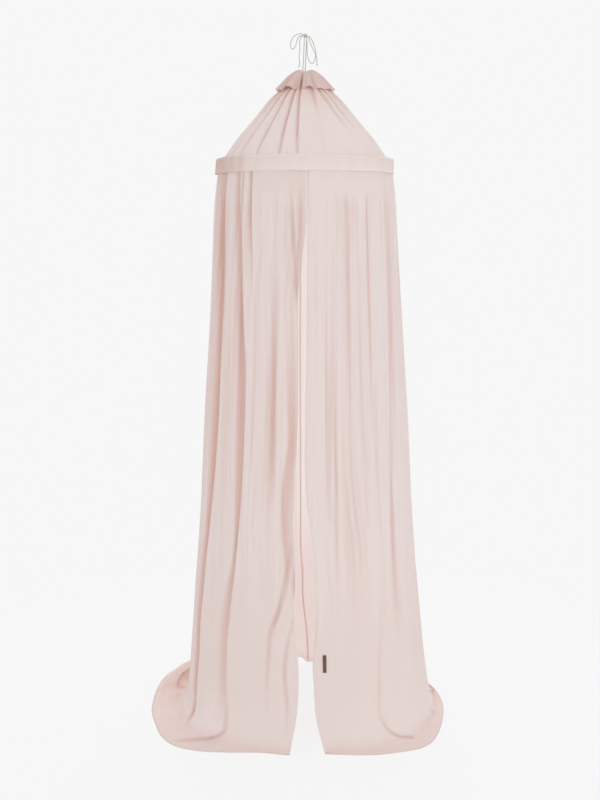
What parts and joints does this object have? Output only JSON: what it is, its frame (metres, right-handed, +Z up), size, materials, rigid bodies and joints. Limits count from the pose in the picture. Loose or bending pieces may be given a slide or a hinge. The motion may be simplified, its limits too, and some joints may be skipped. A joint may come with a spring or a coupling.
{
  "type": "bed crown canopy",
  "caption": "Hanging bed canopy: cord bow, gathered cloth cone over a hoop, and a long skirt with a front slit that trails on the floor.",
  "frame": {"origin": "the point under the bow where the ceiling hook takes the cord, 2.2 m above the floor", "axes": "+Z up, -Y towards the front slit, +X to the right as seen from the front"},
  "size_m": [0.9965, 0.7332, 2.2131],
  "materials": {
    "muslin": "thin pale pink cotton muslin, matt and slightly see-through",
    "crown_cloth": "two layers of the same cotton, a little darker",
    "seam_tape": "woven cotton tape",
    "cord": "off-white twisted cotton cord",
    "hoop_plastic": "extruded plastic tube",
    "leather": "smooth brown leather, bare",
    "thread": "sewing thread"
  },
  "bodies": {
    "hook_cord": {"bow_knot": "cord", "bow_loop_left": "cord", "bow_loop_right": "cord", "bow_tail_left": "cord", "bow_tail_right": "cord", "tail_end_knot": "cord"},
    "canopy": {"hanging_cord": "cord", "neck_channel": "seam_tape", "crown_cap": "crown_cloth", "cone_cloth": "muslin", "hoop_band": "muslin", "casing_facing": "muslin", "hoop_tube_1": "hoop_plastic", "hoop_tube_2": "hoop_plastic", "hoop_tube_3": "hoop_plastic", "hoop_tube_4": "hoop_plastic", "hoop_plug_1": "hoop_plastic", "hoop_plug_2": "hoop_plastic", "hoop_plug_3": "hoop_plastic", "hoop_plug_4": "hoop_plastic", "back_curtain_left": "muslin", "back_curtain_right": "muslin", "back_seam_tape": "seam_tape"},
    "left_curtain": {"front_curtain_left": "muslin"},
    "right_curtain": {"front_curtain_right": "muslin", "leather_label": "leather", "label_stitch_top": "thread", "label_stitch_bottom": "thread"}
  },
  "joints": [
    {"name": "canopy_swivel", "type": "hinge", "parent": "hook_cord", "child": "canopy", "pos_m": [0, 0, 0], "axis": [0, 0, 1], "range_deg": [-90, 90]},
    {"name": "left_curtain_draw", "type": "hinge", "parent": "canopy", "child": "left_curtain", "pos_m": [0, 0, -0.378], "axis": [0, 0, -1], "range_deg": [0, 40]},
    {"name": "right_curtain_draw", "type": "hinge", "parent": "canopy", "child": "right_curtain", "pos_m": [0, 0, -0.378], "axis": [0, 0, 1], "range_deg": [0, 40]}
  ]
}
